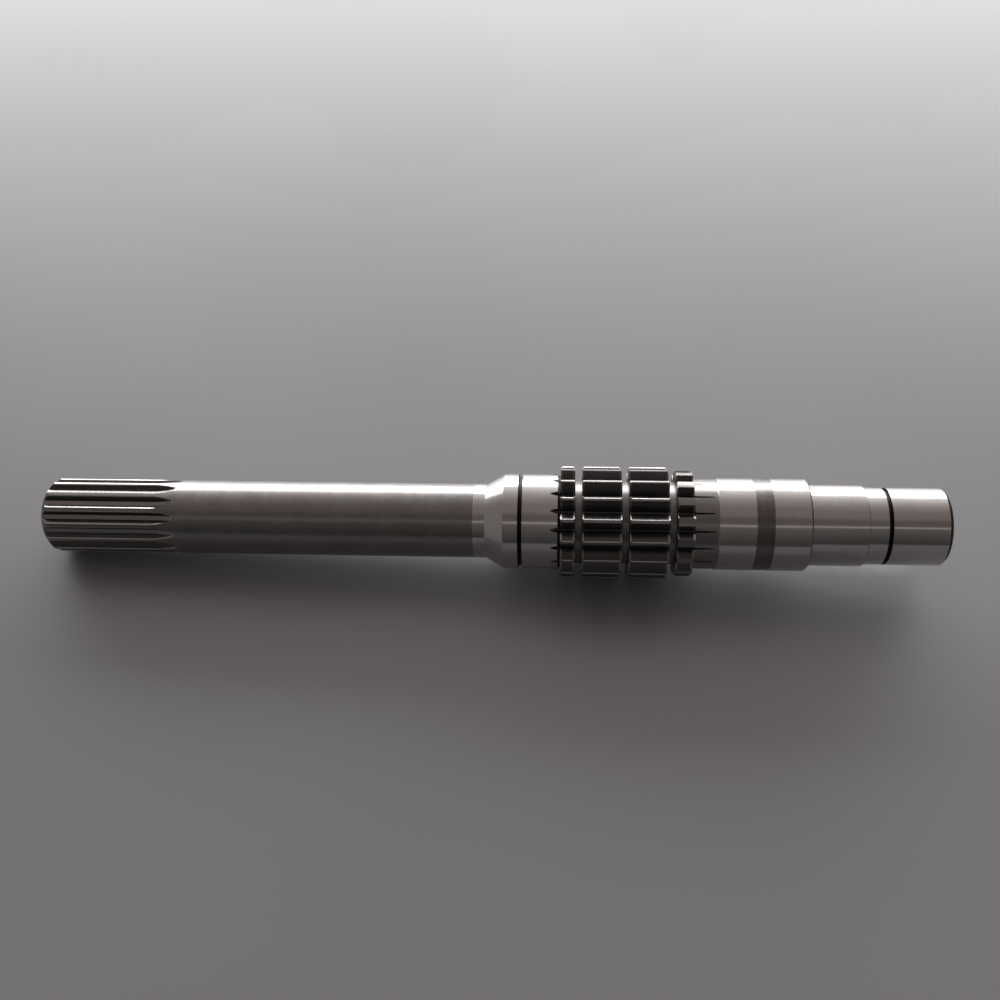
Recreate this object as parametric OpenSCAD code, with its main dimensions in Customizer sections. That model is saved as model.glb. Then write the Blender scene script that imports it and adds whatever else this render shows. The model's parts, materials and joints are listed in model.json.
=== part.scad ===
// Clutch shaft: one turned, splined and ground steel piece, lying as it comes to rest.
// It is drawn along Z from its input end, and laid down on the floor plane Z = 0 by the last module.

/* [Shank and input spline] */
// Diameter of the plain shank and of the input spline over its teeth
shank_d = 40; // [36:0.5:44]
// Length from the input end to the foot of the cone
shank_l = 240.6; // [120:0.1:320]
// Bevel on the input end, at 45 degrees
input_bevel = 3.5; // [0.5:0.1:4.5]
// Number of teeth on the input spline
spline_teeth = 14; // [10:1:18]
// Length of the input spline that has its full depth
spline_l = 60.2; // [30:0.1:90]
// Depth of the input spline's spaces
spline_depth = 2.7; // [1.5:0.1:3.5]
// Width of an input spline tooth at its tip
spline_land = 2.6; // [2:0.1:3.2]
// Pressure angle of the input spline at half its depth
spline_angle = 37; // [32:0.5:39]
// Radius of the disc cutter that leaves the input spline's spaces, and so the length of their run-outs
spline_cutter_r = 32; // [20:1:80]

/* [Cone and collar] */
// Length of the cone between the shank and the collar
cone_l = 9.8; // [5:0.1:20]
// Diameter of the ground collar
collar_d = 51; // [49.5:0.1:53]
// Length of the ground collar, from the cone to the toothed stretch
collar_l = 30; // [20:0.5:60]
// Distance from the cone to the middle of the seal ring groove in the collar
seal_groove_at = 8.8; // [4:0.1:14]
// Width of the seal ring groove
seal_groove_w = 2.2; // [1:0.1:4]
// Depth of the seal ring groove
seal_groove_depth = 1.8; // [0.8:0.1:3]
// Width of the undercut between the collar and the first row of teeth
undercut_w = 1.4; // [0.8:0.1:3]
// Depth of that undercut
undercut_depth = 0.8; // [0.3:0.1:1.5]

/* [Toothed stretch] */
// Number of teeth around the toothed stretch
hub_teeth = 16; // [14:1:18]
// Diameter over the teeth of the first three rows
tooth_tip_d = 59.4; // [58:0.1:62]
// Diameter over the teeth of the last row, which is turned lower
last_tip_d = 56; // [54:0.1:57.5]
// Diameter at the bottom of the tooth spaces
tooth_root_d = 46.8; // [46.2:0.1:47.2]
// Width of a tooth of the first three rows at its tip
tooth_land = 1.2; // [0.9:0.1:1.6]
// Pressure angle of the teeth at half their depth
tooth_angle = 36; // [34:0.5:37]
// Length of the first row of teeth
first_row_l = 7.6; // [5:0.1:15]
// Length of each of the two middle rows of teeth
middle_row_l = 20.7; // [12:0.1:30]
// Length of the last row of teeth
last_row_l = 9; // [5:0.1:15]
// Width of the ring grooves between the rows
row_gap = 3.7; // [2:0.1:6]
// Diameter at the bottom of the ring grooves between the rows
row_gap_d = 44; // [42:0.1:46]
// Width of the cutter's tip, the narrowest that a tooth space gets at its bottom
cutter_tip_w = 0.6; // [0.3:0.1:0.7]
// Chamfer along the tips of the teeth
tooth_chamfer = 0.3; // [0.1:0.05:0.4]
// Chamfer at the ends of the teeth, on the sides of the ring grooves
row_chamfer = 1; // [0.4:0.1:1.4]
// Length that the tooth spaces keep their full depth past the first and the last row
tooth_overrun = 0.4; // [0.2:0.1:0.6]
// Radius of the cutter that leaves the tooth spaces into the collar
collar_cutter_r = 6.5; // [5:0.5:12]
// Radius of the disc cutter that leaves the tooth spaces into the neck
neck_cutter_r = 80; // [40:1:85]

/* [Neck and bearing seat] */
// Diameter of the unground neck behind the teeth
neck_d = 48.1; // [47.9:0.1:48.8]
// Length of the unground neck
neck_l = 12.2; // [11.5:0.1:25]
// Diameter of the ground bearing seat
seat_d = 49; // [48.9:0.1:51]
// Length of the bearing seat with its relief band and its end chamfer
seat_l = 48.5; // [30:0.1:70]
// Distance from the neck to the relief band in the seat
relief_at = 19.3; // [8:0.1:22]
// Width of the relief band
relief_w = 9.1; // [4:0.1:15]
// Depth of the relief band
relief_depth = 0.2; // [0.1:0.1:0.5]
// Chamfer at the end of the bearing seat
seat_chamfer = 2.8; // [0.5:0.1:2.9]

/* [Steps and end journal] */
// Diameter of the step behind the bearing seat
step_d = 43; // [42:0.1:43.5]
// Length of that step
step_l = 28.4; // [15:0.1:50]
// Diameter of the end journal
journal_d = 40.8; // [38:0.1:41.5]
// Length of the end journal, with its circlip groove
journal_l = 42.2; // [25:0.1:70]
// Distance from the step to the middle of the circlip groove
circlip_at = 10.4; // [6:0.1:18]
// Width of the circlip groove
circlip_w = 2.2; // [1.2:0.05:3]
// Depth of the circlip groove
circlip_depth = 1.25; // [0.5:0.05:2]
// Chamfer at the output end, at 45 degrees
output_chamfer = 2; // [0.5:0.1:3]
// Small chamfer that breaks the other turned edges
edge_break = 0.4; // [0.2:0.1:0.8]

/* [Centre holes] */
// Diameter of the lathe centre's 60 degree cone at both end faces
centre_d = 10; // [6:0.5:14]
// Diameter of the pilot drilling below that cone
pilot_d = 4; // [2:0.5:5]
// Depth of the pilot drilling from the end face
pilot_l = 14; // [12:0.5:20]

/* [Hidden] */
$fn = 128;

// Radial overlap of a cutting shape past the surface that it cuts
cut_over = 1;
// Straight pieces that stand for each curved tooth flank
flank_steps = 5;

shank_r = shank_d / 2;
collar_r = collar_d / 2;
undercut_r = collar_r - undercut_depth;
tip_r = tooth_tip_d / 2;
last_tip_r = last_tip_d / 2;
root_r = tooth_root_d / 2;
row_gap_r = row_gap_d / 2;
neck_r = neck_d / 2;
seat_r = seat_d / 2;
step_r = step_d / 2;
journal_r = journal_d / 2;
spline_root_r = shank_r - spline_depth;

// Rows of teeth: the length and the tip radius of each, in order from the collar
row_ls = [first_row_l, middle_row_l, middle_row_l, last_row_l];
row_tip_rs = [tip_r, tip_r, tip_r, last_tip_r];
last_row = len(row_ls) - 1;

// Stations along the shaft, measured from the input end
collar_z = shank_l + cone_l;
teeth_z = collar_z + collar_l;
neck_z = row_z(last_row) + row_ls[last_row];
seat_z = neck_z + neck_l;
step_z = seat_z + seat_l;
journal_z = step_z + step_l;
total_l = journal_z + journal_l;

// The shaft lies on one spline tooth at its input end and on two teeth of the first row
tip_half_space = half_space(tip_r - tooth_chamfer, hub_teeth, tip_r, root_r, tooth_land, tooth_angle);
tooth_contact_r = tip_r * cos(tip_half_space + arc_angle(tooth_chamfer, tip_r));
tooth_contact_z = teeth_z + edge_break;
rest_tilt = atan((tooth_contact_r - shank_r) / (tooth_contact_z - input_bevel));
rest_lift = shank_r * cos(rest_tilt) - input_bevel * sin(rest_tilt);
end_face_difference = (journal_r - output_chamfer) - (shank_r - input_bevel);
rest_middle = (total_l * cos(rest_tilt) + end_face_difference * sin(rest_tilt)) / 2;

// Sum of the first n numbers of a list
function sum_first(list, n) = n == 0 ? 0 : list[n - 1] + sum_first(list, n - 1);

// Station where a row of teeth starts
function row_z(i) = teeth_z + sum_first(row_ls, i) + i * row_gap;

// Angle in degrees that an arc of the given length takes at the given radius
function arc_angle(length, r) = length / r * 180 / PI;

// Involute function, in degrees, at radius r of a tooth form with the given base radius
function involute(r, base_r) = let (a = acos(min(1, base_r / r))) arc_angle(tan(a), 1) - a;

// Half the angle of the space between two involute teeth, at radius r
function half_space(r, teeth, tip, root, land, angle) =
    let (base_r = (tip + root) / 2 * cos(angle))
    let (tooth_half = arc_angle(land / 2, tip) + involute(tip, base_r) - involute(r, base_r))
    max(180 / teeth - tooth_half, arc_angle(cutter_tip_w / 2, r));

function on_circle(r, angle) = [r * cos(angle), r * sin(angle)];

// One flank of a tooth space, from its bottom to the given radius
function flank(reach, teeth, tip, root, land, angle) =
    [for (i = [0 : flank_steps])
        let (r = root + (reach - root) * i / flank_steps)
        on_circle(r, half_space(r, teeth, tip, root, land, angle))];

// One side of a tooth space, from its bottom to its chamfered mouth
function space_side(teeth, tip, root, land, angle, chamfer) =
    let (mouth_r = tip - chamfer)
    let (mouth = half_space(mouth_r, teeth, tip, root, land, angle))
    concat(
        flank(mouth_r, teeth, tip, root, land, angle),
        [on_circle(tip + cut_over, mouth + arc_angle(chamfer + cut_over, tip))]
    );

// A whole outline from one side: that side, then its mirror image in reverse order
function both_sides(side) =
    concat(side, [for (i = [len(side) - 1 : -1 : 0]) [side[i][0], -side[i][1]]]);

// Disc cutter leaving a space: the outline swings away from the axis until it clears the surface
module run_out(side, bottom_r, surface_r, cutter_r) {
    climb = surface_r - bottom_r + cut_over / 2;
    sweep = acos(1 - climb / cutter_r);
    translate([bottom_r + cutter_r, 0, 0])
        rotate([90, 0, 180])
            rotate_extrude(angle = sweep)
                polygon([for (p = both_sides(side)) [bottom_r + cutter_r - p[0], p[1]]]);
}

// Repeats a cutting shape around the axis
module around(count, first_angle) {
    for (i = [0 : count - 1])
        rotate([0, 0, first_angle + i * 360 / count])
            children();
}

// Spaces of the input spline, open at the end face and run out into the shank
module spline_spaces() {
    side = space_side(spline_teeth, shank_r, spline_root_r, spline_land, spline_angle, edge_break);
    around(spline_teeth, 180 / spline_teeth) {
        translate([0, 0, -cut_over])
            linear_extrude(spline_l + cut_over)
                polygon(both_sides(side));
        translate([0, 0, spline_l])
            run_out(side, spline_root_r, shank_r, spline_cutter_r);
    }
}

// Spaces between the teeth of all four rows, run out into the collar and into the neck
module tooth_spaces() {
    side = space_side(hub_teeth, tip_r, root_r, tooth_land, tooth_angle, tooth_chamfer);
    collar_side = flank(collar_r + cut_over, hub_teeth, tip_r, root_r, tooth_land, tooth_angle);
    neck_side = flank(neck_r + cut_over, hub_teeth, tip_r, root_r, tooth_land, tooth_angle);
    start_z = teeth_z - tooth_overrun;
    end_z = neck_z + tooth_overrun;
    around(hub_teeth, 0) {
        translate([0, 0, start_z])
            linear_extrude(end_z - start_z)
                polygon(both_sides(side));
        translate([0, 0, start_z])
            mirror([0, 0, 1])
                run_out(collar_side, root_r, collar_r, collar_cutter_r);
        translate([0, 0, end_z])
            run_out(neck_side, root_r, neck_r, neck_cutter_r);
    }
}

// A ring with chamfered edges, which becomes one row of teeth
module row_ring(r, length, start_chamfer, end_chamfer) {
    rotate_extrude()
        polygon([
            [0, 0],
            [r - start_chamfer, 0],
            [r, start_chamfer],
            [r, length - end_chamfer],
            [r - end_chamfer, length],
            [0, length]
        ]);
}

// A square ring groove, with its middle at the given station
module ring_groove(middle_z, width, surface_r, depth) {
    translate([0, 0, middle_z - width / 2])
        rotate_extrude()
            translate([surface_r - depth, 0])
                square([depth + cut_over, width]);
}

// Lathe centre: a 60 degree cone with a pilot drilling, opening at Z = 0
module centre_hole() {
    cone_depth = (centre_d - pilot_d) / 2 / tan(30);
    rotate_extrude()
        polygon([
            [0, -cut_over],
            [centre_d / 2, -cut_over],
            [centre_d / 2, 0],
            [pilot_d / 2, cone_depth],
            [pilot_d / 2, pilot_l],
            [0, pilot_l + pilot_d / 2 * tan(30)]
        ]);
}

// The turned blank, with the toothed stretch still at the bottom of its ring grooves
module turned_blank() {
    rotate_extrude()
        polygon([
            [0, 0],
            [shank_r - input_bevel, 0],
            [shank_r, input_bevel],
            [shank_r, shank_l],
            [collar_r, collar_z],
            [collar_r, teeth_z - undercut_w],
            [undercut_r, teeth_z - undercut_w],
            [undercut_r, teeth_z + first_row_l / 2],
            [row_gap_r, teeth_z + first_row_l / 2],
            [row_gap_r, neck_z],
            [neck_r, neck_z],
            [neck_r, seat_z],
            [seat_r, seat_z + (seat_r - neck_r)],
            [seat_r, step_z - seat_chamfer],
            [seat_r - seat_chamfer, step_z],
            [step_r, step_z],
            [step_r, journal_z - edge_break],
            [step_r - edge_break, journal_z],
            [journal_r, journal_z],
            [journal_r, total_l - output_chamfer],
            [journal_r - output_chamfer, total_l],
            [0, total_l]
        ]);
}

// The finished shaft along Z, with a spline tooth and a tooth space in the direction of +X
module shaft_along_z() {
    difference() {
        union() {
            turned_blank();
            for (i = [0 : last_row])
                translate([0, 0, row_z(i)])
                    row_ring(
                        row_tip_rs[i],
                        row_ls[i],
                        i == 0 ? edge_break : row_chamfer,
                        i == last_row ? edge_break : row_chamfer
                    );
        }
        spline_spaces();
        tooth_spaces();
        ring_groove(collar_z + seal_groove_at, seal_groove_w, collar_r, seal_groove_depth);
        ring_groove(seat_z + relief_at + relief_w / 2, relief_w, seat_r, relief_depth);
        ring_groove(journal_z + circlip_at, circlip_w, journal_r, circlip_depth);
        centre_hole();
        translate([0, 0, total_l])
            mirror([0, 0, 1])
                centre_hole();
    }
}

// The shaft at rest: input end towards -X, middle of its length over the origin, lowest points at Z = 0
module clutch_shaft() {
    color("dimgray")
        translate([-rest_middle, 0, rest_lift])
            rotate([0, 90 - rest_tilt, 0])
                shaft_along_z();
}

clutch_shaft();
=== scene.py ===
# %% [markdown]
# # A clutch shaft
# The object is one piece of steel, turned, toothed, hardened and ground. It lies on a floor as it comes
# to rest: on one tooth of its input spline at the left, and on two teeth of its widest row.
#
# The lesson follows the workshop. A blank with rounded edges is turned, each stretch gets its own
# finish, and the tooth spaces are cut out of it with a cutter that leaves its run-outs behind.
# The first step loads the measured frame, which gives the shaft's axis and its fitted diameters.

# %% Load the frame
import json
import math

import bmesh
import bpy
from mathutils import Euler, Matrix, Vector


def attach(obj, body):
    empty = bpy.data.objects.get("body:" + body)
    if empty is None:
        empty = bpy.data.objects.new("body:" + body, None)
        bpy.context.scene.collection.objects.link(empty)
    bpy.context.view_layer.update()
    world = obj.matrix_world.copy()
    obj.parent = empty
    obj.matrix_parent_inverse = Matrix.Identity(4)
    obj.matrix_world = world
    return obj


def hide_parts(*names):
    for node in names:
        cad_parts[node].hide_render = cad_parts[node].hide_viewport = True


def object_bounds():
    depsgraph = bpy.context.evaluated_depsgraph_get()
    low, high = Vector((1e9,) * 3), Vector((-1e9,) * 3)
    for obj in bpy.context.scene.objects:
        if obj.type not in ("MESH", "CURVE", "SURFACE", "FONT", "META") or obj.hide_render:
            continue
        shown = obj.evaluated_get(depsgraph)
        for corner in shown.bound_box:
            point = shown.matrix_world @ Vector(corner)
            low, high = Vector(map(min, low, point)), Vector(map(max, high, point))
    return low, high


MM = 0.001

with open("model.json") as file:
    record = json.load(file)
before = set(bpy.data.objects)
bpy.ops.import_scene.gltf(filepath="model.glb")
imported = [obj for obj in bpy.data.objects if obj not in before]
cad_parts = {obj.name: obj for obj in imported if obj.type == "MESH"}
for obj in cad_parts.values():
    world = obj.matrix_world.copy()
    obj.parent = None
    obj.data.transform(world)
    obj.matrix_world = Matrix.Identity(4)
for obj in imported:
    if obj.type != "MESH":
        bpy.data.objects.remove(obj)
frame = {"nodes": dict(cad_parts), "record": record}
cad_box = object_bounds()
mounts = {mount["name"]: mount for mount in frame["record"]["mounts"]}
cad_corners = [tuple(round(c / MM, 1) for c in corner) for corner in cad_box]
print("frame:", list(frame["nodes"]), "box", cad_corners)

# %% [markdown]
# ## The shaft's own axis
# A lathe knows one axis, so the shaft is modelled along Z, with its input end at zero, and is laid down
# at the end. It doesn't lie level: the widest row lifts its right half by about two degrees. The mount
# in the middle of the input spline gives both the direction of the axis and a point on it.

# %% Find the axis
spline_length = 60.2

spline_mount = mounts["input_spline"]
towards_input = Vector(spline_mount["axis"])
input_end = Vector(spline_mount["pos_m"]) + towards_input * (spline_length / 2 * MM)
rest_tilt = math.asin(-towards_input.z)
rest_turn = Euler((0, math.radians(90) - rest_tilt, 0))
print("rest tilt", round(math.degrees(rest_tilt), 2), "degrees, input end at", tuple(input_end))

# %% [markdown]
# ## Sizes along the shaft
# All sizes are millimetres. The radii that other parts fit on are read from the mounts, and the rest
# repeat the measured part. Only the end of the bearing seat, the place of the circlip groove and the
# spline teeth are a little finer here than in the solid. The places of the steps are worked out, each
# from the one before it, as on a turner's drawing.

# %% Sizes
shank_radius = 20.0
shank_length = 240.6
ground_from = 234.3
input_bevel = 3.5
cone_length = 9.8
collar_radius = mounts["collar"]["dims"]["r_mm"]
collar_length = 30.0
seal_groove_at = 8.8
seal_groove_width = 2.2
seal_groove_depth = 1.8
undercut_width = 1.4
undercut_depth = 0.8
undercut_radius = collar_radius - undercut_depth

tip_radius = 29.7
last_tip_radius = 28.0
root_radius = 23.4
row_lengths = [7.6, 20.7, 20.7, 9.0]
row_tips = [tip_radius, tip_radius, tip_radius, last_tip_radius]
row_gap = 3.7
row_gap_radius = 22.0

neck_radius = 24.05
neck_length = 12.2
seat_radius = mounts["bearing_seat"]["dims"]["r_mm"]
seat_length = 47.8
relief_at = 19.3
relief_width = 9.1
relief_depth = 0.2
seat_chamfer = 1.0
step_radius = mounts["step_seat"]["dims"]["r_mm"]
step_length = 29.1
journal_radius = mounts["end_journal"]["dims"]["r_mm"]
journal_length = 42.2
circlip_at = 10.8
circlip_width = 2.2
circlip_depth = 1.25
output_chamfer = 2.0
edge_break = 0.4

centre_radius = 5.0
pilot_radius = 2.0
pilot_length = 14.0

collar_z = shank_length + cone_length
teeth_z = collar_z + collar_length
row_starts = [teeth_z + sum(row_lengths[:i]) + i * row_gap for i in range(len(row_lengths))]
row_ends = [start + length for start, length in zip(row_starts, row_lengths)]
neck_z = row_ends[-1]
seat_z = neck_z + neck_length
relief_z = seat_z + relief_at
step_z = seat_z + seat_length
journal_z = step_z + step_length
total_length = journal_z + journal_length
print("rows start at", [round(z, 1) for z in row_starts])
print("the shaft ends at", round(total_length, 1))

# %% [markdown]
# ## The profile of the blank
# A turned part is its profile, swung round once. The profile below is a list of corners, as radius and
# station, and runs from the bottom of one centre hole over the outside to the bottom of the other.
#
# No turned edge is truly sharp. A Bevel modifier could round them all, but it would round the tooth
# edges later too, and it can't be told that some corners are rounder than others. So each corner says
# its own rounding, and a small function replaces it with an arc.

# %% Corners of the profile
fine_edge = 0.15
face_edge = 0.4
row_edge = 1.1
relief_edge = 0.05
inner_corner = 0.3
centre_half_angle = math.radians(30)


def groove(middle, width, surface, depth, edge=fine_edge):
    """Four corners of a square ring groove."""
    near = middle - width / 2
    far = middle + width / 2
    return [
        (surface, near, edge),
        (surface - depth, near, edge),
        (surface - depth, far, edge),
        (surface, far, edge),
    ]


def tooth_row(row):
    """Four corners of a row of teeth, before the spaces are cut."""
    tip = row_tips[row]
    start_edge = face_edge if row == 0 else row_edge
    end_edge = face_edge if row == last_row else row_edge
    return [
        (row_feet[row], row_starts[row], inner_corner),
        (tip, row_starts[row], start_edge),
        (tip, row_ends[row], end_edge),
        (row_feet[row + 1], row_ends[row], inner_corner),
    ]


centre_depth = (centre_radius - pilot_radius) / math.tan(centre_half_angle)
input_corners = [
    (pilot_radius, pilot_length, 0),
    (pilot_radius, centre_depth, 0),
    (centre_radius, 0, fine_edge),
    (shank_radius - input_bevel, 0, fine_edge),
    (shank_radius, input_bevel, inner_corner),
    (shank_radius, ground_from, 0),
    (shank_radius, shank_length, inner_corner),
    (collar_radius, collar_z, inner_corner),
]
collar_corners = [
    *groove(collar_z + seal_groove_at, seal_groove_width, collar_radius, seal_groove_depth),
    (collar_radius, teeth_z - undercut_width, fine_edge),
    (undercut_radius, teeth_z - undercut_width, fine_edge),
]

last_row = len(row_lengths) - 1
row_feet = [undercut_radius] + [row_gap_radius] * last_row + [neck_radius]
row_corners = [corner for row in range(len(row_lengths)) for corner in tooth_row(row)]

seat_rise = seat_radius - neck_radius
seat_corners = [
    (neck_radius, seat_z, fine_edge),
    (seat_radius, seat_z + seat_rise, fine_edge),
    *groove(relief_z + relief_width / 2, relief_width, seat_radius, relief_depth, edge=relief_edge),
    (seat_radius, step_z - seat_chamfer, fine_edge),
    (seat_radius - seat_chamfer, step_z, fine_edge),
    (step_radius, step_z, inner_corner),
    (step_radius, journal_z - edge_break, fine_edge),
    (step_radius - edge_break, journal_z, fine_edge),
    (journal_radius, journal_z, inner_corner),
]
output_corners = [
    *groove(journal_z + circlip_at, circlip_width, journal_radius, circlip_depth),
    (journal_radius, total_length - output_chamfer, inner_corner),
    (journal_radius - output_chamfer, total_length, fine_edge),
    (centre_radius, total_length, fine_edge),
    (pilot_radius, total_length - centre_depth, 0),
    (pilot_radius, total_length - pilot_length, 0),
]
corners = input_corners + collar_corners + row_corners + seat_corners + output_corners
print(len(corners), "corners in the profile")

# %% Round the corners
ARC_PIECES = 3
LARGEST_SHARE = 0.4
LONGEST_STRIP = 24.0


def rounded(corner, before, after):
    """The points of an arc that takes the place of one corner, and a share of its two sides at most."""
    here = Vector(corner[:2])
    back = Vector(before[:2]) - here
    ahead = Vector(after[:2]) - here
    reach = min(corner[2], LARGEST_SHARE * back.length, LARGEST_SHARE * ahead.length)
    if reach == 0:
        return [here]
    first = here + back.normalized() * reach
    last = here + ahead.normalized() * reach
    share = [i / ARC_PIECES for i in range(ARC_PIECES + 1)]
    return [first * (1 - s) ** 2 + here * 2 * s * (1 - s) + last * s**2 for s in share]


def with_helper_rings(points):
    """The same points, with more between two that lie far apart."""
    filled = [points[0]]
    for before, after in zip(points, points[1:]):
        pieces = max(1, math.ceil((after - before).length / LONGEST_STRIP))
        filled += [before.lerp(after, i / pieces) for i in range(1, pieces + 1)]
    return filled


profile = [Vector(corners[0][:2])]
for before, corner, after in zip(corners, corners[1:], corners[2:]):
    profile += rounded(corner, before, after)
profile.append(Vector(corners[-1][:2]))
profile = with_helper_rings(profile)
print(len(profile), "rings in the blank")

# %% [markdown]
# ## Turning the blank
# Spinning the profile as one line would do it too. Here a ring is added and extruded from corner to
# corner, because the ring's edge count can be chosen first: it has to divide by the 16 teeth and by the
# 14 spline teeth, so that every tooth is cut alike. Each extrude moves the ring along the shaft, and a
# resize brings it to its new radius.

# %% Turn the blank
tooth_count = 16
spline_count = 14
SIDES = tooth_count * spline_count


def deselect_all():
    """Leaves edit mode and selects nothing, so that an operator acts on its own piece only."""
    if bpy.context.object and bpy.context.object.mode != "OBJECT":
        bpy.ops.object.mode_set(mode="OBJECT")
    bpy.ops.object.select_all(action="DESELECT")


def extrude_ring(ring, to_ring):
    """Extrudes the selected ring from one point of the profile to the next."""
    move = (0, 0, (to_ring.y - ring.y) * MM)
    bpy.ops.mesh.extrude_edges_move(TRANSFORM_OT_translate={"value": move})
    if to_ring.x != ring.x:
        widen = to_ring.x / ring.x
        bpy.ops.transform.resize(value=(widen, widen, 1), center_override=(0, 0, to_ring.y * MM))


def close_drilling():
    """Closes the selected ring with a drill point."""
    bpy.ops.mesh.edge_face_add()
    bpy.ops.mesh.poke()


deselect_all()
bpy.context.tool_settings.mesh_select_mode = (True, False, False)
bpy.ops.mesh.primitive_circle_add(
    vertices=SIDES, radius=profile[0].x * MM, fill_type="TRIFAN", location=(0, 0, profile[0].y * MM)
)
shaft = bpy.context.object
shaft.name = shaft.data.name = "clutch_shaft_steel"
bpy.ops.object.transform_apply(location=True, rotation=True, scale=True)
bpy.ops.object.mode_set(mode="EDIT")
mesh = bmesh.from_edit_mesh(shaft.data)
for vertex in mesh.verts:
    vertex.select = vertex.co.xy.length > profile[0].x * MM / 2
mesh.select_flush_mode()
for ring, to_ring in zip(profile, profile[1:]):
    extrude_ring(ring, to_ring)
close_drilling()
bpy.ops.mesh.select_all(action="SELECT")
bpy.ops.mesh.normals_make_consistent(inside=False)
bpy.ops.object.mode_set(mode="OBJECT")
print("blank:", len(shaft.data.polygons), "faces, length", round(shaft.dimensions.z / MM, 2), "mm")

# %% [markdown]
# ## The finishes as material slots
# The blank gets its material slots now, before any tooth is cut. A boolean hands the cutter's material
# to the faces that it cuts, so the spaces come out with their own finish and nothing has to be picked
# by hand afterwards. The nodes of each material follow further down.

# %% Material slots
FINISHES = [
    "blackened_steel",
    "ground_steel",
    "turned_steel",
    "dark_tooth_steel",
    "worn_edge_steel",
    # The last finish is near-black painted shade, for grooves, run-outs and the output chamfer.
    "groove_steel",
]
finish = {}
for name in FINISHES:
    finish[name] = bpy.data.materials.new(name)
    finish[name].use_nodes = True
    shaft.data.materials.append(finish[name])
print(len(finish), "finishes in the slots of", shaft.name)

# %% [markdown]
# ## The finish of each stretch
# A face is known by its station and its radius, so a rule on these two numbers picks it. The shank, the
# teeth and the neck are dark from hardening, and the collar and the seats were ground bright after it.
# Grooves, chamfers and end faces were only turned. The ring grooves, the run-outs in the neck and the
# output chamfer are painted near-black as shade. A later rule overrules an earlier one.

# %% Finish of the turned faces


def assign(piece, name, wanted):
    """Gives a finish to the faces of a piece for which wanted(station, radius) is true."""
    slot = FINISHES.index(name)
    count = 0
    for face in piece.data.polygons:
        station = face.center.z / MM
        radius = face.center.xy.length / MM
        if wanted(station, radius):
            face.material_index = slot
            count += 1
    print(name, "on", count, "faces")


skin = 0.05
low_in_row = last_tip_radius - row_edge - skin
gap_floor = row_gap_radius + skin
in_collar = collar_radius - skin
seat_start = seat_z + seat_rise
in_seat = seat_radius - skin
relief_end = relief_z + relief_width
seat_end = step_z - seat_chamfer - skin
step_end = journal_z - edge_break - skin
in_journal = journal_radius - skin
journal_end = total_length - output_chamfer - skin
chamfer_foot = journal_radius - output_chamfer
assign(shaft, "blackened_steel", lambda z, r: z < ground_from or teeth_z < z < seat_start)
assign(shaft, "ground_steel", lambda z, r: ground_from <= z <= teeth_z or z >= seat_start)
assign(shaft, "dark_tooth_steel", lambda z, r: teeth_z < z < neck_z and r < low_in_row)
assign(shaft, "turned_steel", lambda z, r: row_ends[0] < z < row_starts[-1] and r < gap_floor)
assign(shaft, "turned_steel", lambda z, r: relief_z < z < relief_end and r < in_seat)
# Painted shade: the seal groove, the undercut before the teeth and the circlip groove are painted
# near-black.
assign(shaft, "groove_steel", lambda z, r: collar_z < z < teeth_z and r < in_collar)
assign(shaft, "groove_steel", lambda z, r: journal_z + skin < z < journal_end and r < in_journal)
assign(shaft, "turned_steel", lambda z, r: z < input_bevel + skin)
assign(shaft, "turned_steel", lambda z, r: seat_end < z < step_z + skin and r > step_radius)
assign(shaft, "blackened_steel", lambda z, r: step_end < z < journal_z + skin and r > journal_radius)
assign(shaft, "turned_steel", lambda z, r: z > journal_end and r > centre_radius)
# Painted shade: the output chamfer is painted near-black because it shows dark in this light.
assign(shaft, "groove_steel", lambda z, r: z > journal_end and r > chamfer_foot)

# %% [markdown]
# ## One space between two teeth
# The flanks are involutes: the width of the space follows from the radius by a formula. A cutter of
# that outline starts as one small plane at the bottom of the space. Its outer edge is extruded along
# the flank, a little wider each time, and bends outwards at the mouth, which rounds the teeth's edges.
#
# Then the whole outline is extruded along the shaft. Where a row of teeth ends, the outline grows a
# little in steps, which rounds the ends of the flanks. Before the first row and past the last one it
# climbs on an arc, as a disc cutter does when it leaves the work, and that leaves the pointed run-outs
# in the shaft.

# %% Width of a space
tooth_land = 1.2
tooth_angle = math.radians(36)
spline_depth = 2.7
spline_root_radius = shank_radius - spline_depth
spline_land = 2.0
spline_angle = math.radians(37)
cutter_tip_width = 0.6
tooth_chamfer = 0.3
mouth_reach = 1.0
FLANK_PIECES = 8
MOUTH_PIECES = 3


def involute(radius, base_radius):
    """Involute function at a radius of a tooth form with the given base radius."""
    angle = math.acos(min(1, base_radius / radius))
    return math.tan(angle) - angle


def half_space(radius, count, tip, root, land, angle):
    """Half the angle of the space between two teeth, at a radius."""
    base_radius = (tip + root) / 2 * math.cos(angle)
    tooth_half = land / 2 / tip + involute(tip, base_radius) - involute(radius, base_radius)
    return max(math.pi / count - tooth_half, cutter_tip_width / 2 / radius)


def space_outline(count, tip, root, land, angle, chamfer):
    """(place along X, half width) pairs of a space, from its bottom to past its flared mouth."""
    outline = []
    for i in range(FLANK_PIECES + 1):
        radius = root + (tip - chamfer - root) * i / FLANK_PIECES
        half = half_space(radius, count, tip, root, land, angle)
        outline.append((radius * math.cos(half), radius * math.sin(half)))
    x, half = outline[-1]
    slope = math.atan2(half - outline[-2][1], x - outline[-2][0])
    bend = (math.pi / 2 - slope) / (MOUTH_PIECES + 1)
    turns = [slope + bend * i for i in range(1, MOUTH_PIECES + 1)]
    piece = chamfer / sum(math.cos(turn) for turn in turns)
    for turn in turns:
        x += piece * math.cos(turn)
        half += piece * math.sin(turn)
        outline.append((x, half))
    outline.append((x + mouth_reach, half + mouth_reach))
    return outline


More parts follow.
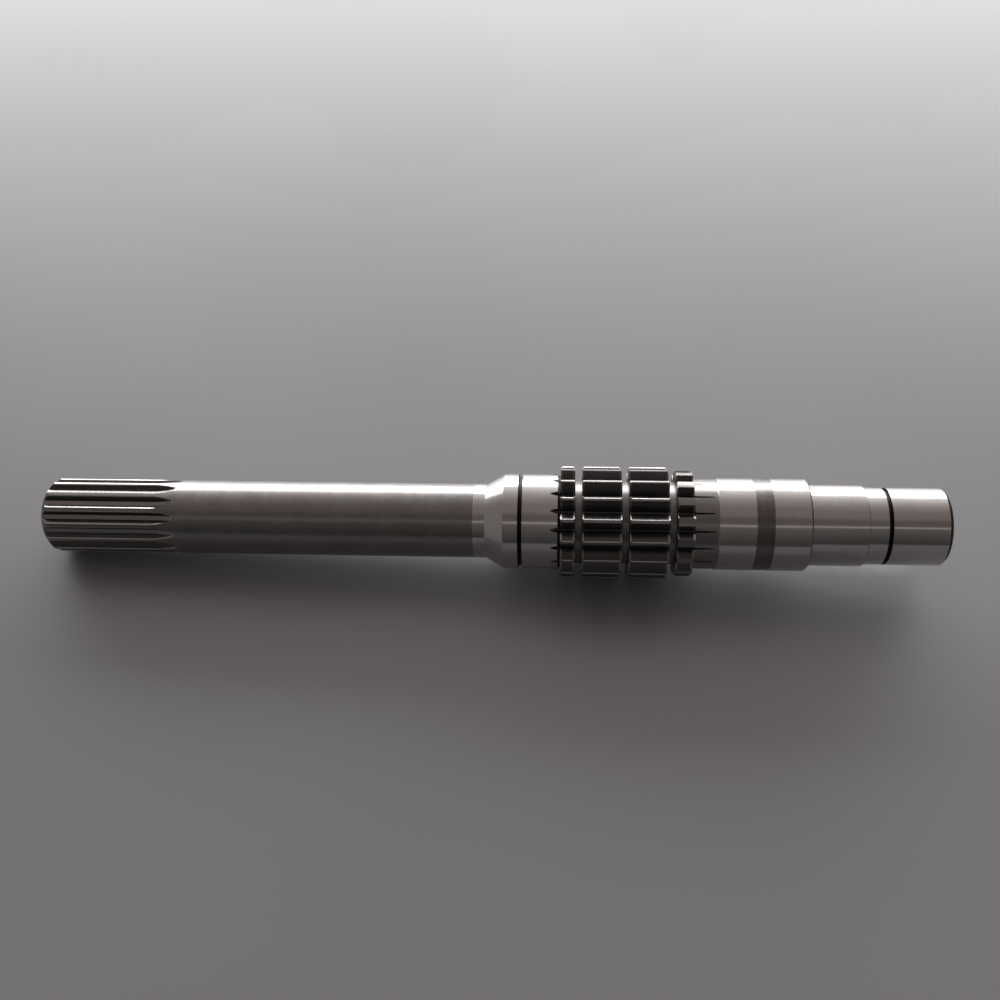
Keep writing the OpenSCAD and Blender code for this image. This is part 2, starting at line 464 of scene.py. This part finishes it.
tooth_outline = space_outline(
    tooth_count, tip_radius, root_radius, tooth_land, tooth_angle, tooth_chamfer
)
spline_outline = space_outline(
    spline_count, shank_radius, spline_root_radius, spline_land, spline_angle, edge_break
)
print("tooth space is", round(2 * tooth_outline[FLANK_PIECES][1], 2), "mm wide at its mouth")

# %% Path of a cutter
RUN_OUT_PIECES = 10
tooth_overrun = 0.4
collar_cutter_radius = 6.5
neck_cutter_radius = 80.0
spline_cutter_radius = 32.0
spline_lead = 1.0
END_PIECES = 3
end_reach = 1.0
end_growth = 0.12
leave_height = 0.3


def run_out(start, direction, cutter_radius, bite):
    """Stations of a disc cutter that leaves the work: (station, lift, growth)."""
    climb = bite + leave_height
    sweep = math.acos(1 - climb / cutter_radius)
    stations = []
    for i in range(1, RUN_OUT_PIECES + 1):
        turn = sweep * i / RUN_OUT_PIECES
        place = start + direction * cutter_radius * math.sin(turn)
        stations.append((place, cutter_radius * (1 - math.cos(turn)), 1))
    return stations


end_steps = []
for i in range(END_PIECES + 1):
    inwards = i / END_PIECES
    rise = 1 - math.sqrt(1 - (1 - inwards) ** 2)
    end_steps.append((end_reach * inwards, 1 + end_growth * rise))

first_cut = teeth_z - tooth_overrun
last_cut = neck_z + tooth_overrun
tooth_path = run_out(first_cut, -1, collar_cutter_radius, collar_radius - root_radius)[::-1]
tooth_path.append((first_cut, 0, 1))
for start, end in zip(row_starts, row_ends):
    tooth_path += [(start + inwards, 0, growth) for inwards, growth in end_steps]
    tooth_path += [(end - inwards, 0, growth) for inwards, growth in reversed(end_steps)]
tooth_path.append((last_cut, 0, 1))
tooth_path += run_out(last_cut, 1, neck_cutter_radius, neck_radius - root_radius)

spline_path = [(-spline_lead, 0, 1), (spline_length, 0, 1)]
spline_path += run_out(spline_length, 1, spline_cutter_radius, shank_radius - spline_root_radius)
print("tooth cutter runs from", round(tooth_path[0][0], 1), "to", round(tooth_path[-1][0], 1), "mm")

# %% [markdown]
# ## Cutting the teeth
# The cutter is made once and turned round the axis in copies. All copies are one mesh, so one boolean
# cuts all the spaces. With no window, a turn needs its centre given.

# %% Draw and sweep an outline


def draw_outline(outline, station, lift):
    """Starts a cutter: its flat outline, facing along the shaft."""
    bottom_x, bottom_half = outline[0]
    next_x, next_half = outline[1]
    middle = ((bottom_x + next_x) / 2 + lift) * MM
    bpy.ops.mesh.primitive_plane_add(size=1, location=(middle, 0, station * MM))
    cutter = bpy.context.object
    cutter.scale = ((next_x - bottom_x) * MM, 2 * bottom_half * MM, 1)
    bpy.ops.object.transform_apply(location=True, rotation=True, scale=True)
    bpy.ops.object.mode_set(mode="EDIT")
    mesh = bmesh.from_edit_mesh(cutter.data)
    for vertex in mesh.verts:
        vertex.select = vertex.co.x > middle
    mesh.select_flush_mode()
    middle_place = (middle, 0, station * MM)
    bpy.ops.transform.resize(value=(1, next_half / bottom_half, 1), center_override=middle_place)
    for (x, half), (to_x, to_half) in zip(outline[1:], outline[2:]):
        bpy.ops.mesh.extrude_edges_move(TRANSFORM_OT_translate={"value": ((to_x - x) * MM, 0, 0)})
        centre = ((to_x + lift) * MM, 0, station * MM)
        bpy.ops.transform.resize(value=(1, to_half / half, 1), center_override=centre)
    return cutter


def sweep_outline(path, pivot_x):
    """Extrudes the drawn outline along its path, lifting and growing it."""
    bpy.ops.mesh.select_all(action="SELECT")
    for (station, lift, growth), (to_station, to_lift, to_growth) in zip(path, path[1:]):
        move = ((to_lift - lift) * MM, 0, (to_station - station) * MM)
        bpy.ops.mesh.extrude_region_move(TRANSFORM_OT_translate={"value": move})
        if to_growth != growth:
            grow = to_growth / growth
            centre = ((pivot_x + to_lift) * MM, 0, to_station * MM)
            bpy.ops.transform.resize(value=(grow, grow, 1), center_override=centre)


print("outlines of", len(tooth_outline), "points, swept over", len(tooth_path), "stations")

# %% Make the cutters


def copy_around(count, first_turn):
    """Turns the cutter to its first place and copies it round the axis."""
    bpy.ops.mesh.select_all(action="SELECT")
    bpy.ops.transform.rotate(value=first_turn, orient_axis="Z", center_override=(0, 0, 0))
    for _ in range(count - 1):
        bpy.ops.mesh.duplicate()
        bpy.ops.transform.rotate(value=2 * math.pi / count, orient_axis="Z", center_override=(0, 0, 0))
    bpy.ops.mesh.select_all(action="SELECT")
    bpy.ops.mesh.normals_make_consistent(inside=False)
    bpy.ops.object.mode_set(mode="OBJECT")


def make_cutter(name, outline, path, count, first_turn):
    """A whole ring of cutters as one object."""
    deselect_all()
    cutter = draw_outline(outline, path[0][0], path[0][1])
    cutter.name = name
    pivot_x = (outline[0][0] + outline[-1][0]) / 2
    sweep_outline(path, pivot_x)
    copy_around(count, first_turn)
    for material in finish.values():
        cutter.data.materials.append(material)
    return cutter


tooth_cutter = make_cutter("tooth_cutter", tooth_outline, tooth_path, tooth_count, 0)
half_turn = math.pi / spline_count
spline_cutter = make_cutter("spline_cutter", spline_outline, spline_path, spline_count, half_turn)
print("cutters:", len(tooth_cutter.data.polygons), "and", len(spline_cutter.data.polygons), "faces")

# %% Finish of the cut faces
mouth_depth = 0.05
middle_turn = 0.01


def near_row_end(station):
    """True in the short stretches where the ends of the flanks are rounded."""
    starts = any(start < station < start + end_reach for start in row_starts)
    ends = any(end - end_reach < station < end for end in row_ends)
    return starts or ends


def assign_floor(cutter, name, count, first_turn):
    """Gives a finish to the bottom faces of the spaces, which lie in the middle of each cutter."""
    pitch = 2 * math.pi / count
    for face in cutter.data.polygons:
        turn = (math.atan2(face.center.y, face.center.x) - first_turn) % pitch
        if min(turn, pitch - turn) < middle_turn:
            face.material_index = FINISHES.index(name)
    print(name, "on the floors of", count, "spaces")


assign(tooth_cutter, "dark_tooth_steel", lambda z, r: True)
assign(tooth_cutter, "worn_edge_steel", lambda z, r: r > tip_radius - tooth_chamfer + mouth_depth)
assign(tooth_cutter, "turned_steel", lambda z, r: near_row_end(z))
# Painted shade: the run-outs that the cutter leaves in the neck are painted near-black.
assign(tooth_cutter, "groove_steel", lambda z, r: z > neck_z)
assign(spline_cutter, "dark_tooth_steel", lambda z, r: True)
assign_floor(spline_cutter, "blackened_steel", spline_count, half_turn)
assign(spline_cutter, "worn_edge_steel", lambda z, r: r > shank_radius - edge_break + mouth_depth)

# %% Cut the spaces


def cut(piece, cutter):
    """Cuts one mesh out of another and removes the cutter."""
    deselect_all()
    bpy.context.view_layer.objects.active = piece
    piece.select_set(True)
    bpy.ops.object.modifier_add(type="BOOLEAN")
    modifier = piece.modifiers[-1]
    modifier.operation = "DIFFERENCE"
    modifier.solver = "EXACT"
    modifier.material_mode = "TRANSFER"
    modifier.object = cutter
    bpy.ops.object.modifier_apply(modifier=modifier.name)
    piece.select_set(False)
    cutter.select_set(True)
    bpy.ops.object.delete()


cut(shaft, tooth_cutter)
cut(shaft, spline_cutter)
print("cut shaft:", len(shaft.data.polygons), "faces,", len(shaft.data.materials), "materials")

# %% [markdown]
# ## Laying the shaft down
# The finished mesh is turned from the lathe's axis to its rest on the floor. The turn goes into the
# mesh, so that the object itself stays at the origin. Edges of more than 28 degrees stay sharp, and
# weighted normals keep the large faces flat beside the small arcs.

# %% Lay it down
SHARP_ANGLE = math.radians(28)
MERGE_DISTANCE = 0.001 * MM

deselect_all()
bpy.context.view_layer.objects.active = shaft
shaft.select_set(True)
shaft.matrix_world = Matrix.LocRotScale(input_end, rest_turn, None)
bpy.ops.object.transform_apply(location=True, rotation=True, scale=True)
bpy.ops.object.mode_set(mode="EDIT")
bpy.ops.mesh.select_all(action="SELECT")
bpy.ops.mesh.remove_doubles(threshold=MERGE_DISTANCE)
bpy.ops.mesh.normals_make_consistent(inside=False)
bpy.ops.object.mode_set(mode="OBJECT")
bpy.ops.object.shade_smooth_by_angle(angle=SHARP_ANGLE)
bpy.ops.object.modifier_add(type="WEIGHTED_NORMAL")
shaft.modifiers[-1].keep_sharp = True
bpy.ops.object.modifier_apply(modifier=shaft.modifiers[-1].name)

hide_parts("clutch_shaft")
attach(shaft, "root")
shaft.data.calc_loop_triangles()
shaft_size = [round(c / MM, 2) for c in shaft.dimensions]
print("shaft:", len(shaft.data.loop_triangles), "triangles, box", shaft_size)

# %% [markdown]
# ## Shader maths
# Each finish below mixes lines, stains and wear by arithmetic. Written as nodes that is hard to read,
# so one small class wraps a node's output: an expression on it adds the Math nodes, and its node method
# adds any other node.

# %% A wrapped socket


class Wire:
    """One output in a node tree, for use in expressions."""

    def __init__(self, tree, socket=None):
        self.tree = tree
        self.socket = socket

    def node(self, kind, settings=None, sockets=None, output=0):
        """Adds a node: its settings first, then the values or wires of its sockets."""
        made = self.tree.nodes.new(kind)
        for name, value in (settings or {}).items():
            if name == "stops":
                self.set_stops(made.color_ramp, value)
            else:
                setattr(made, name, value)
        for name, value in (sockets or {}).items():
            if isinstance(value, Wire):
                self.tree.links.new(value.socket, made.inputs[name])
            else:
                made.inputs[name].default_value = value
        return Wire(self.tree, made.outputs[output] if made.outputs else None)

    @staticmethod
    def set_stops(ramp, stops):
        """Gives a colour ramp its stops, as (place, colour) pairs."""
        while len(ramp.elements) < len(stops):
            ramp.elements.new(1)
        for element, (place, colour) in zip(ramp.elements, stops):
            element.position = place
            element.color = colour

    def math(self, operation, first, second=0.0):
        """Adds a Math node."""
        return self.node("ShaderNodeMath", {"operation": operation}, {0: first, 1: second})

    def __add__(self, other):
        return self.math("ADD", self, other)

    def __mul__(self, other):
        return self.math("MULTIPLY", self, other)

    def __rsub__(self, other):
        return self.math("SUBTRACT", other, self)

    __radd__ = __add__
    __rmul__ = __mul__

    def between(self, low, high):
        """Rises smoothly from 0 to 1 between two values."""
        limits = {"Value": self, "From Min": low, "From Max": high}
        return self.node("ShaderNodeMapRange", {"interpolation_type": "SMOOTHSTEP"}, limits)

    def tint(self, dark, light):
        """A colour between two. A Mix node has its colours at sockets 6 and 7 and at output 2."""
        colours = {0: self, 6: (*dark, 1), 7: (*light, 1)}
        return self.node("ShaderNodeMix", {"data_type": "RGBA"}, colours, output=2)


print("expressions on", Wire.__name__, "objects add nodes")

# %% [markdown]
# ## The steel
# Turning and grinding both leave rings round the shaft, so every finish reads the distance along the
# axis. A Mapping node turns the object's own coordinates back to the lathe's axis, in millimetres. The
# lines are one-dimensional noise along it: a coarse one that can be seen as faint rings, and a fine one
# that only breaks up the reflections. Patchy noise in all directions adds handling marks and stains.

# %% The pattern of the lines
LINE_NOISE = 0.6
PATCH_NOISE = 0.55


def lathe_place(tree):
    """Coordinates in millimetres, with Z along the shaft from its input end."""
    wire = Wire(tree)
    here = wire.node("ShaderNodeTexCoord", output="Object")
    turned = {"Vector": here, "Location": input_end, "Rotation": rest_turn, "Scale": (MM, MM, MM)}
    return wire.node("ShaderNodeMapping", {"vector_type": "TEXTURE"}, turned)


def ring_lines(place, per_mm, detail=2.0):
    """Noise that changes only along the shaft."""
    along = place.node("ShaderNodeSeparateXYZ", None, {0: place}, output="Z")
    values = {"W": along, "Scale": per_mm, "Detail": detail, "Roughness": LINE_NOISE}
    return place.node("ShaderNodeTexNoise", {"noise_dimensions": "1D"}, values)


def patches(place, size, detail=3.0, stretch=(1, 1, 1)):
    """Noise in all directions, with patches of about the given size in millimetres."""
    scaled = place.node("ShaderNodeMapping", None, {"Vector": place, "Scale": stretch})
    values = {"Vector": scaled, "Scale": 1 / size, "Detail": detail, "Roughness": PATCH_NOISE}
    return place.node("ShaderNodeTexNoise", None, values)


print("lines follow an axis", round(math.degrees(rest_turn.y), 2), "degrees from upright")

# %% A steel finish
COARSE_LINES = 6
FINE_DETAIL = 4.0
STAIN_SIZE = 14.0
MARK_SIZE = 1.6
MARK_DETAIL = 5.0
MARK_STRETCH = (1, 1, 0.35)
NOISE_RANGE = (0.3, 0.7)
LINE_SHARE = 0.7
LINE_RELIEF = 0.02 * MM


def steel(name, dark, light, smooth, rough, lines, line_height, wear=0.0, metal=1.0):
    """A steel finish: two colours, two roughnesses, and the scale and height of its lines."""
    tree = finish[name].node_tree
    shader = tree.nodes["Principled BSDF"]
    place = lathe_place(tree)
    coarse = ring_lines(place, lines / COARSE_LINES)
    fine = ring_lines(place, lines, detail=FINE_DETAIL)
    stains = patches(place, STAIN_SIZE)
    marks = patches(place, MARK_SIZE, detail=MARK_DETAIL, stretch=MARK_STRETCH)
    # The shares of each mix add up to one.
    tone = coarse * 0.15 + stains * 0.5 + marks * 0.35
    colour = tone.between(*NOISE_RANGE).tint(dark, light)
    dullness = stains * 0.5 + marks * 0.3 + coarse * 0.2
    roughness = smooth + (rough - smooth) * dullness.between(*NOISE_RANGE)
    height = fine * LINE_SHARE + marks * wear
    relief = {"Height": height, "Strength": line_height, "Distance": LINE_RELIEF}
    bump = place.node("ShaderNodeBump", None, relief)
    tree.links.new(colour.socket, shader.inputs["Base Color"])
    tree.links.new(roughness.socket, shader.inputs["Roughness"])
    tree.links.new(bump.socket, shader.inputs["Normal"])
    shader.inputs["Metallic"].default_value = metal
    print(name, "has", len(tree.nodes), "nodes")


print("finishes have stains of", STAIN_SIZE, "mm and marks of", MARK_SIZE, "mm")

# %% The six finishes
steel(
    "blackened_steel", dark=(0.29, 0.275, 0.265), light=(0.34, 0.325, 0.315),
    smooth=0.22, rough=0.28, lines=1.2, line_height=0.4, wear=0.3,
)
steel(
    "ground_steel", dark=(0.58, 0.555, 0.54), light=(0.64, 0.62, 0.605),
    smooth=0.1, rough=0.15, lines=2.4, line_height=0.25,
)
steel(
    "turned_steel", dark=(0.19, 0.178, 0.17), light=(0.24, 0.228, 0.218),
    smooth=0.24, rough=0.32, lines=1.4, line_height=0.4,
)
steel(
    "dark_tooth_steel", dark=(0.07, 0.068, 0.072), light=(0.1, 0.096, 0.098),
    smooth=0.27, rough=0.38, lines=0.7, line_height=0.3, wear=0.3, metal=0.75,
)
steel(
    "worn_edge_steel", dark=(0.55, 0.53, 0.515), light=(0.63, 0.61, 0.595),
    smooth=0.16, rough=0.24, lines=1.5, line_height=0.2, wear=0.3,
)
# A near-black finish that paints shade into the grooves, the neck's run-outs and the output chamfer.
steel(
    "groove_steel", dark=(0.018, 0.016, 0.016), light=(0.03, 0.027, 0.026),
    smooth=0.4, rough=0.5, lines=0.7, line_height=0.3,
)

# %% [markdown]
# ## Floor, light and camera
# A polished cylinder shows little of its own colour: it shows what stands round it. So the light is one
# large soft window low behind the shaft, a dimmer ceiling, and a darker side towards the camera. The
# room is painted in the world as a ramp over the angle round the shaft's axis, from the horizon in
# front, over the zenith, to the horizon behind, and the window lies over the ramp's end. The window
# stops at both sides, where the room is an even grey, so that faces that look along the shaft stay
# calm. A narrow lighter strip in front draws the thin line along the ground stretches. The floor is
# plain and a little glossy. It is bright towards the window, and takes the soft shadow.

# %% Floor
FLOOR_SIZE = 120.0
FLOOR_PATCHES = 3.0
FLOOR_NOISE_RANGE = (0.2, 0.8)
FLOOR_DARK = (0.3, 0.3, 0.31)
FLOOR_LIGHT = (0.33, 0.33, 0.34)
FLOOR_ROUGHNESS = 0.38
FLOOR_METALLIC = 0.25
FLOOR_SPECULAR = 1.0

deselect_all()
bpy.ops.mesh.primitive_plane_add(size=FLOOR_SIZE)
floor = bpy.context.object
floor.name = "floor"
pale = bpy.data.materials.new("pale_floor")
pale.use_nodes = True
pale_shader = pale.node_tree.nodes["Principled BSDF"]
floor_wire = Wire(pale.node_tree)
floor_place = floor_wire.node("ShaderNodeTexCoord", output="Object")
floor_values = {"Vector": floor_place, "Scale": FLOOR_PATCHES}
floor_noise = floor_wire.node("ShaderNodeTexNoise", None, floor_values)
floor_colour = floor_noise.between(*FLOOR_NOISE_RANGE).tint(FLOOR_DARK, FLOOR_LIGHT)
pale.node_tree.links.new(floor_colour.socket, pale_shader.inputs["Base Color"])
pale_shader.inputs["Roughness"].default_value = FLOOR_ROUGHNESS
pale_shader.inputs["Metallic"].default_value = FLOOR_METALLIC
pale_shader.inputs["Specular IOR Level"].default_value = FLOOR_SPECULAR
floor.data.materials.append(pale)
print("floor", FLOOR_SIZE, "m wide")

# %% Colours of the room
# Each stop has its degrees from the horizon in front, its strength and its tint.
HALF_ROUND = 180
ROOM = [
    (0, 0.04, (1.0, 1.0, 1.0)),
    (22, 0.075, (1.0, 0.95, 0.92)),
    (43, 0.12, (1.0, 0.9, 0.87)),
    (48, 0.13, (1.0, 0.88, 0.85)),
    (50, 0.4, (1.0, 0.9, 0.87)),
    (52, 0.4, (1.0, 0.9, 0.87)),
    (54, 0.12, (1.0, 0.88, 0.85)),
    (68, 0.125, (1.0, 0.87, 0.83)),
    (77, 0.2, (1.0, 0.87, 0.83)),
    (95, 0.22, (1.0, 0.87, 0.83)),
    (109, 0.31, (1.0, 0.88, 0.85)),
    (120, 0.42, (1.0, 0.92, 0.89)),
    (132, 0.64, (1.0, 0.96, 0.94)),
    (145, 1.0, (1.0, 0.98, 0.97)),
    (180, 1.0, (1.0, 1.0, 1.0)),
]
WINDOW_STRENGTH = 6.5
WINDOW_COLOUR = (1, 1, 1, 1)
window_sill = (148 / HALF_ROUND, 153 / HALF_ROUND)
window_side = (0.55, 0.8)
room_side = (0.5, 0.95)
side_colour = (0.2, 0.185, 0.18, 1)
print("room of", len(ROOM), "stops, and a window of strength", WINDOW_STRENGTH)

# %% The room in the world
world = bpy.data.worlds.new("studio")
bpy.context.scene.world = world
world.use_nodes = True
sky_wire = Wire(world.node_tree)
towards = sky_wire.node("ShaderNodeTexCoord", output="Generated")
sideways = sky_wire.node("ShaderNodeSeparateXYZ", None, {0: towards}, output="X")
backwards = sky_wire.node("ShaderNodeSeparateXYZ", None, {0: towards}, output="Y")
upwards = sky_wire.node("ShaderNodeSeparateXYZ", None, {0: towards}, output="Z")
angle = sky_wire.math("ARCTAN2", upwards, backwards * -1.0) * (1 / math.pi)
stops = []
for degrees, strength, tint in ROOM:
    stops.append((degrees / HALF_ROUND, (*(c * strength for c in tint), 1)))
room_colour = sky_wire.node("ShaderNodeValToRGB", {"stops": stops}, {0: angle})
room = sky_wire.node("ShaderNodeBackground", None, {"Color": room_colour})
window_light = {"Color": WINDOW_COLOUR, "Strength": WINDOW_STRENGTH}
glow = sky_wire.node("ShaderNodeBackground", None, window_light)
sides = sky_wire.node("ShaderNodeBackground", None, {"Color": side_colour})
aside = sky_wire.math("ABSOLUTE", sideways)
at_side = aside.between(*room_side)
around = sky_wire.node("ShaderNodeMixShader", None, {0: at_side, 1: room, 2: sides})
in_window = angle.between(*window_sill) * (1 - aside.between(*window_side))
sky = sky_wire.node("ShaderNodeMixShader", None, {0: in_window, 1: around, 2: glow})
world.node_tree.links.new(sky.socket, world.node_tree.nodes["World Output"].inputs["Surface"])
print("world", world.name, "has", len(world.node_tree.nodes), "nodes")

# %% Camera
CAMERA_AZIMUTH = math.radians(3.67)
CAMERA_ELEVATION = math.radians(53.99)
CAMERA_ROLL = math.radians(-1.12)
CAMERA_DISTANCE = 553.0
CAMERA_SENSOR = 36
CAMERA_LENS = 37.8
aim_station = 247.9
aim_above_axis = 19.2

flat = math.cos(CAMERA_ELEVATION)
back = Vector((
    math.sin(CAMERA_AZIMUTH) * flat,
    -math.cos(CAMERA_AZIMUTH) * flat,
    math.sin(CAMERA_ELEVATION),
))
level_right = Vector((math.cos(CAMERA_AZIMUTH), math.sin(CAMERA_AZIMUTH), 0))
level_up = back.cross(level_right)
right = level_right * math.cos(CAMERA_ROLL) + level_up * math.sin(CAMERA_ROLL)
up = back.cross(right)
aim = input_end - towards_input * (aim_station * MM) + Vector((0, 0, aim_above_axis * MM))

deselect_all()
bpy.ops.object.camera_add()
camera = bpy.context.object
camera.data.sensor_width = CAMERA_SENSOR
camera.data.lens = CAMERA_LENS
camera_place = aim + back * (CAMERA_DISTANCE * MM)
camera_turn = Matrix((right, up, back)).transposed().to_quaternion()
camera.matrix_world = Matrix.LocRotScale(camera_place, camera_turn, None)
bpy.context.scene.camera = camera
bpy.context.scene.view_settings.view_transform = "Standard"
print("camera at", tuple(round(c, 4) for c in camera.location))
